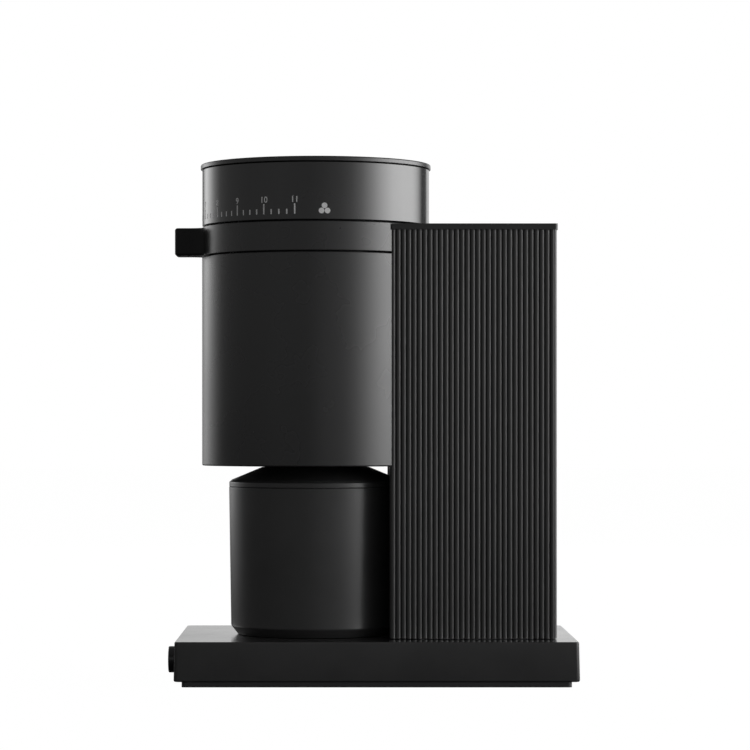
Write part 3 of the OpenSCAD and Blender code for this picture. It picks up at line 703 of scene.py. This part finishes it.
def tab_piece():
    """Grip tab of the adjustment ring, with rounded edges above and below."""
    low, high = (corner.z for corner in off_axis("adjust_tab"))
    edge = 1.3
    quarter = [radians(90 * k / 5) for k in range(6)]
    rings = [tab_ring(edge * (1 - sin(a)), low + edge * (1 - cos(a))) for a in quarter]
    rings += [tab_ring(edge * (1 - cos(a)), high - edge * (1 - sin(a))) for a in quarter]
    mesh_bm = bmesh.new()
    stack(mesh_bm, rings)
    new_piece("grind_tab", mesh_bm, "tab_black", "adjuster", ["adjust_tab"])


body_pieces()
ring_piece()
tab_piece()

# ---------------------------------------------------------------- hopper, its printed scale and the lid

drum_low, drum_high = off_axis("hopper_drum")
DRUM_R = (drum_high.x - drum_low.x) / 2


def hopper_pieces():
    """Glossy drum, and the funnel inside it that leads the beans to the burrs."""
    low, high = drum_low.z, drum_high.z
    skin, seat, floor_t = 2.4, 42.4, 2.3
    drum = [
        (DRUM_R, low, 0.45), (DRUM_R, high, 0.3), (DRUM_R - skin, high, 0.3),
        (DRUM_R - skin, low + floor_t, 0.8), (seat, low + floor_t, 0.4), (seat, low, 0.4),
    ]
    lathe_piece("hopper_wall", drum, "smoke_plastic", "hopper", ["hopper_drum"])
    foot, rim = (corner.z for corner in off_axis("hopper_funnel"))
    neck, top, wall = 27.5, DRUM_R - 2.5, 2.0
    bean_slide = [
        (neck - wall, foot, 0.4), (neck, foot, 0.4), (neck, foot + 13.8, 2.0), (top, foot + 48.8, 1.5),
        (top, rim, 0.3), (top - wall, rim, 0.7), (top - wall, foot + 49.6, 2.5),
        (neck - wall, foot + 14.8, 3.0),
    ]
    lathe_piece("bean_slide", bean_slide, "smoke_plastic", "hopper", ["hopper_funnel"])


def lid_piece():
    """Lid with a flange and a shallow dish above, and a skirt with a groove for its seal below."""
    low, high = (corner.z for corner in off_axis("lid"))
    flange_r = off_axis("lid")[1].x
    skirt_in, skirt_r, groove_r = 50, 53, 52
    under, inside, dish = high - 2.5, high - 6, high - 3.4
    groove_low, groove_high = high - 7.6, high - 5.4
    profile = [
        (0, inside), (skirt_in, inside, 0.5), (skirt_in, low, 0.4), (skirt_r, low, 0.6),
        (skirt_r, groove_low, 0.2), (groove_r, groove_low), (groove_r, groove_high),
        (skirt_r, groove_high, 0.2), (skirt_r, under, 0.3), (flange_r, under, 0.35),
        (flange_r, high, 0.7), (46, high, 1.6), (40, dish, 4.0), (0, dish),
    ]
    lathe_piece("lid_cap", profile, "lid_black", "hopper_lid", ["lid"])


FACING = radians(-90)  # the grinder's front, as a bearing
PRINT_OUT, PRINT_IN = 0.035, 0.03  # how far the ink stands proud and how deep its back lies, in millimetres


def on_drum(bearing, along, height, out):
    """Point on the drum at a bearing plus a distance along its skin; lengths are in millimetres."""
    a = bearing + along / DRUM_R
    radius = DRUM_R + out
    return at(radius * cos(a), radius * sin(a), height)


def ink_patch(mesh_bm, bearing, outline, height):
    """Closed thin patch with the given outline of (along, up) in millimetres."""
    faces = []
    for out in (-PRINT_IN, PRINT_OUT):
        faces.append([mesh_bm.verts.new(on_drum(bearing, u, height + v, out)) for u, v in outline])
    count = len(outline)
    mesh_bm.faces.new(list(reversed(faces[0])))
    mesh_bm.faces.new(faces[1])
    for k in range(count):
        n = (k + 1) % count
        mesh_bm.faces.new((faces[0][k], faces[0][n], faces[1][n], faces[1][k]))


def ink_digits(mesh_bm, bearing, number, height, tall):
    """A number set in the plain built-in font, slightly emboldened and wrapped round the drum."""
    curve = bpy.data.curves.new("digits", "FONT")
    curve.body = str(number)
    curve.size = tall / 0.7
    curve.align_x = "CENTER"
    curve.extrude = (PRINT_OUT + PRINT_IN) / 2
    curve.offset = 0.035
    curve.resolution_u = 4
    letters = bpy.data.objects.new("digits", curve)
    bpy.context.scene.collection.objects.link(letters)
    flat = bpy.data.meshes.new_from_object(letters.evaluated_get(bpy.context.evaluated_depsgraph_get()))
    bpy.data.objects.remove(letters)
    middle = (PRINT_OUT - PRINT_IN) / 2
    places = [v.co for v in flat.vertices]
    verts = [mesh_bm.verts.new(on_drum(bearing, p.x, height + p.y, p.z + middle)) for p in places]
    for face in flat.polygons:
        mesh_bm.faces.new([verts[i] for i in face.vertices])


def grind_scale():
    """Ticks each 4 degrees, a number at each fourth, and a coarse and a fine mark past the ends."""
    mesh_bm = bmesh.new()
    ticks, step, turned = 41, 4.0, 0.2  # degrees between ticks, and the whole print's turn from the front
    half, short, long = 0.35, 2.6, 5.2
    tick_z, digit_z, mark_z = (drum_low.z + rise for rise in (2.9, 8.85, 5.35))
    for i in range(ticks):
        numbered = i % 4 == 0
        tall = long if numbered else short
        bearing = FACING + radians((i - ticks // 2) * step + turned)
        ink_patch(mesh_bm, bearing, [(-half, 0), (half, 0), (half, tall), (-half, tall)], tick_z)
        if numbered:
            ink_digits(mesh_bm, bearing, 1 + i // 4, digit_z, 3.05)
    past = radians(94.8)
    for side, dots, radius, ring, middle in ((1, 3, 1.45, 1.75, []), (-1, 6, 0.62, 1.55, [(0, 0)])):
        spots = middle + [(ring * sin(2 * pi * k / dots), ring * cos(2 * pi * k / dots)) for k in range(dots)]
        for u, v in spots:
            turns = [2 * pi * k / 24 for k in range(24)]
            circle = [(u + radius * cos(a), v + radius * sin(a)) for a in turns]
            ink_patch(mesh_bm, FACING + side * past, circle, mark_z)
    new_piece("grind_scale", mesh_bm, "smoke_plastic", "hopper", (), (), INK)


hopper_pieces()
lid_piece()
grind_scale()

# ---------------------------------------------------------------- catch cup


def cup_pieces():
    """Catch cup with a ring under its foot, and its cone-shaped cover with a skirt that holds the seal."""
    low, rim = (corner.z for corner in off_axis("cup_body"))
    rim_r = off_axis("cup_body")[1].x
    foot_r, skin = rim_r - 1.1, 2.2
    body = [
        (0, low), (30, low, 0.2), (30, low + 1.2), (36, low + 1.2), (36, low, 0.2), (foot_r - 3.6, low, 0.8),
        (foot_r, low + 4.5, 1.6), (rim_r, rim, 0.35), (rim_r - skin, rim, 0.35), (foot_r - skin, low + 5, 3.0),
        (foot_r - skin - 2, low + 3, 1.5), (0, low + 3),
    ]
    lathe_piece("cup_wall", body, "cup_black", "cup", ["cup_body"])
    skirt, top = (corner.z for corner in off_axis("cup_lid"))
    hole = 26.4
    cover = [
        (hole, top, 0.5), (hole, top - 1.8, 0.5), (41, top - 9, 1.0), (41, skirt, 0.3), (42.4, skirt, 0.3),
        (42.4, skirt + 1.4, 0.1), (41.8, skirt + 1.4), (41.8, skirt + 3.4), (42.4, skirt + 3.4, 0.1),
        (42.4, rim + 0.1), (rim_r - 0.1, rim + 0.1, 0.3), (rim_r - 0.1, rim + 2.6, 0.7),
        (rim_r - 1.5, rim + 3.8, 1.0), (hole + 1.6, top, 1.6),
    ]
    lathe_piece("cup_cover", cover, "cup_black", "cup", ["cup_lid"])


cup_pieces()

# ---------------------------------------------------------------- burrs and small inner pieces


BURR_SIDES = 288


def fluted_ring(radius, height, depth, twist, teeth_in):
    """Ring whose edge is cut into ten leaning saw teeth, turned by a twist."""
    teeth = 10
    ring = []
    for k in range(BURR_SIDES):
        a = 2 * pi * k / BURR_SIDES
        share = ((a - twist) * teeth / (2 * pi)) % 1.0
        tooth = share / 0.8 if share < 0.8 else (1 - share) / 0.2
        r = radius + depth * tooth if teeth_in else radius - depth * (1 - tooth)
        ring.append(at(r * cos(a), r * sin(a), height))
    return ring


def round_ring(radius, height):
    """Plain ring with as many points as a fluted one."""
    turns = [2 * pi * k / BURR_SIDES for k in range(BURR_SIDES)]
    return [at(radius * cos(a), radius * sin(a), height) for a in turns]


def burrs():
    """Inner cone and outer ring, with deep feeding flutes that turn shallow near the gap."""
    low, high = (corner.z for corner in off_axis("inner_burr"))
    bore, foot_r, tip_r = 5.05, 22.0, 10.0
    levels = 18
    rings = [round_ring(bore, high), round_ring(bore, low), round_ring(foot_r - 1, low)]
    rings.append(round_ring(foot_r, low + 0.6))
    for k in range(levels + 1):
        share = k / levels
        z = low + 5 + (high - low - 5) * share
        radius = foot_r + (tip_r - foot_r) * share
        rings.append(fluted_ring(radius, z, 0.5 + 2.2 * share, 0.9 * share, False))
    rings.append(round_ring(tip_r - 2.8, high))
    mesh_bm = bmesh.new()
    stack(mesh_bm, rings, around=True)
    new_piece("burr_cone", mesh_bm, "burr_steel", "burr_drive", ["inner_burr"])
    low, high = (corner.z for corner in off_axis("outer_burr"))
    outer_r = off_axis("outer_burr")[1].x
    edge, mouth, gap = 0.4, 13.3, 22.4
    rings = [round_ring(outer_r - edge, low), round_ring(outer_r, low + edge)]
    rings += [round_ring(outer_r, high - edge), round_ring(outer_r - edge, high), round_ring(mouth + 3, high)]
    for k in range(levels + 1):
        share = k / levels
        z = high - (high - low - 3) * share
        radius = mouth + (gap - mouth) * share
        rings.append(fluted_ring(radius, z, 2.6 - 2.0 * share, 0.9 * share, True))
    rings.append(round_ring(gap + 0.3, low))
    mesh_bm = bmesh.new()
    stack(mesh_bm, rings, around=True)
    new_piece("burr_ring", mesh_bm, "burr_steel", "burr_lift", ["outer_burr"])


def spring_piece():
    """Coil spring under the click ball, with flat closed ends."""
    low, high = off_axis("click_spring")
    middle = (low + high) / 2
    wire, turns, steps, round_steps = 0.27, 8, 24, 10
    radius = (high.x - low.x) / 2 - wire
    mesh_bm = bmesh.new()
    rings = []
    total = turns * steps
    for i in range(total + 1):
        share = i / total
        a = 2 * pi * turns * share
        rise = min(max((share - 0.1) / 0.8, 0), 1)
        z = low.z + wire + (high.z - low.z - 2 * wire) * (0.06 * share + 0.94 * rise)
        spine = at(middle.x + radius * cos(a), middle.y + radius * sin(a), z)
        out, up = Vector((cos(a), sin(a), 0)), Vector((0, 0, 1))
        around = [2 * pi * k / round_steps for k in range(round_steps)]
        rings.append([spine + (out * cos(b) + up * sin(b)) * wire * MM for b in around])
    stack(mesh_bm, rings)
    new_piece("ball_spring", mesh_bm, "ground_steel", "stand", ["click_spring"])


burrs()
spring_piece()

for node, width in (
    ("tower_cap", 0.45), ("base_plate", 0.6), ("feet", 0.8), ("gear_case", 0.5), ("gear_cover", 0.4),
    ("chassis", 0.4), ("motor_can", 0.8), ("motor_endbell", 0.5), ("burr_housing", 0.5), ("burr_carrier", 0.4),
    ("hopper_collar", 0.3), ("body_bottom_cover", 0.4), ("burr_pulley", 0.25), ("idler_pulley", 0.25),
    ("burr_shaft", 0.5), ("motor_shaft", 0.4),
    ("idler_axle", 0.4), ("burr_nut", 0.4), ("sweeper", 0.4), ("power_switch", 0.5), ("board_components", 0.4),
    ("shaft_bearings", 0.3), ("motor_armature", 0.4), ("motor_magnets", 0.5), ("tower_front_panel", 0.4),
    ("grounds_chute", 0.25), ("lid_seal", 0.4), ("cup_seal", 0.2), ("cup_foot", 0.4), ("control_board", 0.15),
):
    bevel_node(node, width)
